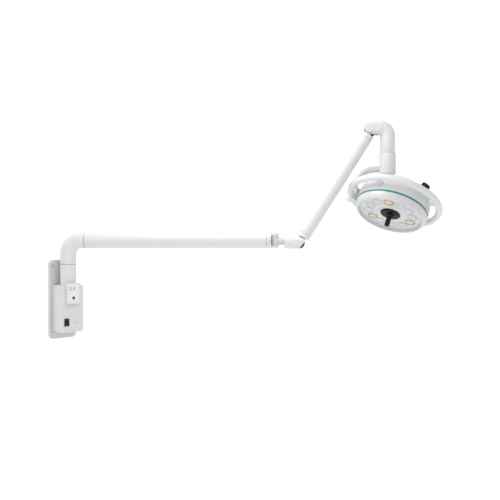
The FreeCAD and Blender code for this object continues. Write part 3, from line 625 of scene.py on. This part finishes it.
# ------------------------------------------------------------------ wall unit details
PX1 = 93.0
bm = bmesh.new()
loft(bm, [(84.05, -3, 24, 26.4, 37.4, 3.0), (85.0, -3, 24, 27, 38, 3.4), (90.6, -3, 24, 27, 38, 3.6), (91.9, -3, 24, 26.5, 37.5, 3.6), (92.7, -3, 24, 25.6, 36.6, 3.4),
          (93.0, -3, 24, 24.6, 35.6, 3.2), (93.0, -3, 24, 22.7, 33.7, 2.9), (92.55, -3, 24, 22.5, 33.5, 2.7)], MM, 8)
piece("panel_case", bm, "wall", "grey", ["control_panel"], sharp=50)
bm = bmesh.new()
loft(bm, [(92.5, -3, 24, 22.2, 33.2, 2.5), (92.95, -3, 24, 22.2, 33.2, 2.5), (93.05, -3, 24, 22.0, 33.0, 2.4)], MM, 8)
# raised key domes and the button's collar, pressed into the film
lathe(bm, rnd([(5.3, 0.0), (7.4, 0.0), (7.0, 0.7), (5.6, 0.7)], 0.25, 3), MM @ T(PX1, -4.0, 8.0) @ R(90, "Y"), 64)
for yy in (-16.5, -2.5):
    lathe(bm, [(0, 0), (5.6, 0), (5.4, 0.18), (4.4, 0.30), (0, 0.34)], MM @ T(PX1 + 0.02, yy, 40) @ R(90, "Y"), 48)
piece("panel_film_sheet", bm, "wall", "film", ["panel_overlay"], sharp=30)

bm = bmesh.new()
for yy, sg in ((-16.5, 1), (-2.5, -1)):
    tri = [(yy - 3.6, 40 - sg * 2.6), (yy + 3.6, 40 - sg * 2.6), (yy, 40 + sg * 2.9)]
    a = [bm.verts.new(MM @ Vector((PX1 + 0.05, y, z))) for y, z in tri]
    b = [bm.verts.new(MM @ Vector((PX1 + 0.45, y * 0.94 + yy * 0.06, z * 0.94 + 40 * 0.06))) for y, z in tri]
    bm.faces.new(a)
    bm.faces.new(list(reversed(b)))
    for k in range(3):
        bm.faces.new((a[k], a[(k + 1) % 3], b[(k + 1) % 3], b[k]))
for yy in (-16.5, -2.5):
    loft(bm, [(PX1 + 0.04, yy, 46.0, 3.4, 0.7, 0.5), (PX1 + 0.32, yy, 46.0, 3.3, 0.6, 0.45)], MM, 3)
piece("panel_symbols", bm, "wall", "ink", ["panel_icons"])
bm = bmesh.new()
for k in range(5):
    lathe(bm, [(0, 0), (0.85, 0), (0.85, 0.25), (0.5, 0.55), (0, 0.62)], MM @ T(PX1 + 0.03, -19.0 + 8.0 * k, 29.5) @ R(90, "Y"), 24)
piece("panel_level_dots", bm, "wall", "pilot")

bm = bmesh.new()
lathe(bm, rnd([(0, 2.35), (4.2, 2.6), (5.0, 2.1), (5.0, -5.6), (0, -5.6)], [0, 0.8, 0.8, 0.3, 0], 4), MM @ T(PX1, -4.0, 8.0) @ R(90, "Y"), 64)
piece("button_cap", bm, "button", "button", ["panel_button"], sharp=40)

# rocker: concave gloss key with a line and a ring mark, in a bevelled frame
RX, RY, RZ = 78.0, -26.8, -80.0
M_RK = MM @ T(RX, RY, RZ) @ R(-8, "Y")
bm = bmesh.new()
rows = []
for k in range(25):
    z = -12.2 + 24.4 * k / 24
    x = 50.6 - math.sqrt(44.0 ** 2 - z * z)
    rows.append((x, z))
sec = []
for x, z in rows:
    e = 0.5 if abs(z) < 12.1 else 0.9
    sec.append([(-6.0 + (0 if abs(z) < 12.1 else 0.4), -9.7), (x - e, -9.7), (x - e * 0.3, -9.7 + e * 0.3), (x, -9.7 + e), (x + 0.05, 0.0), (x, 9.7 - e), (x - e * 0.3, 9.7 - e * 0.3),
                (x - e, 9.7), (-6.0 + (0 if abs(z) < 12.1 else 0.4), 9.7)])
grid = [[bm.verts.new(M_RK @ Vector((x, y, rows[i][1]))) for x, y in loop] for i, loop in enumerate(sec)]
for i in range(len(grid) - 1):
    for k in range(9):
        k2 = (k + 1) % 9
        bm.faces.new((grid[i][k], grid[i][k2], grid[i + 1][k2], grid[i + 1][k]))
bm.faces.new(grid[0])
bm.faces.new(list(reversed(grid[-1])))
piece("rocker_key", bm, "switch", "black_gloss", ["rocker"], sharp=45)
bm = bmesh.new()
lathe(bm, [(1.5, 0), (2.2, 0), (2.2, 0.22), (1.5, 0.22)], M_RK @ T(7.05, 0, -6.6) @ R(90 - 8.7, "Y"), 40)
loft(bm, [(0, 0, 0, 0.35, 2.0, 0.2), (0.22, 0, 0, 0.35, 2.0, 0.2)], M_RK @ T(7.05, 0, 6.6) @ R(8.7, "Y"), 3)
piece("rocker_marks", bm, "switch", "mark")
bm = bmesh.new()
M_F = MM @ T(84.0, RY, RZ)
outer = [(0.03, 12.6, 16.1, 1.6), (1.1, 12.6, 16.1, 1.6), (1.6, 12.1, 15.6, 1.4), (1.8, 11.4, 14.9, 1.2), (1.7, 10.6, 14.2, 0.8), (0.6, 10.2, 13.8, 0.5), (-14.5, 10.2, 13.8, 0.5)]
loops_ = [[bm.verts.new(M_F @ Vector((x, a, b))) for a, b in rrect(hw, hh, rr, 5)] for x, hw, hh, rr in outer]
back = [(-16.0, 11.3, 14.8, 0.6), (0.03, 11.3, 14.8, 0.6)]
loops_b = [[bm.verts.new(M_F @ Vector((x, a, b))) for a, b in rrect(hw, hh, rr, 5)] for x, hw, hh, rr in back]
seq = loops_ + loops_b
for i in range(len(loops_) - 1):
    a, b = loops_[i], loops_[i + 1]
    for k in range(len(a)):
        bm.faces.new((a[k], a[(k + 1) % len(a)], b[(k + 1) % len(a)], b[k]))
bm.faces.new(loops_[-1])
bm.faces.new(loops_b[0])
for k in range(len(loops_b[0])):
    k2 = (k + 1) % len(loops_b[0])
    bm.faces.new((loops_b[0][k], loops_b[0][k2], loops_b[1][k2], loops_b[1][k]))
    bm.faces.new((loops_b[1][k], loops_b[1][k2], loops_[0][k2], loops_[0][k]))
piece("rocker_surround", bm, "wall", "cap", ["rocker_frame"], sharp=40)

# indicator lens with a domed front
bm = bmesh.new()
lathe(bm, rnd([(0, 1.23), (2.6, 1.1), (4.2, 0.7), (4.8, 0.03), (3.8, 0.03), (3.8, -4.0), (0, -4.0)], [0, 0.8, 0.8, 0.2, 0, 0.3, 0], 4), MM @ T(84.0, 15.0, -84.0) @ R(90, "Y"), 64)
piece("indicator_dome", bm, "wall", "pilot", ["indicator_lens"], sharp=45)
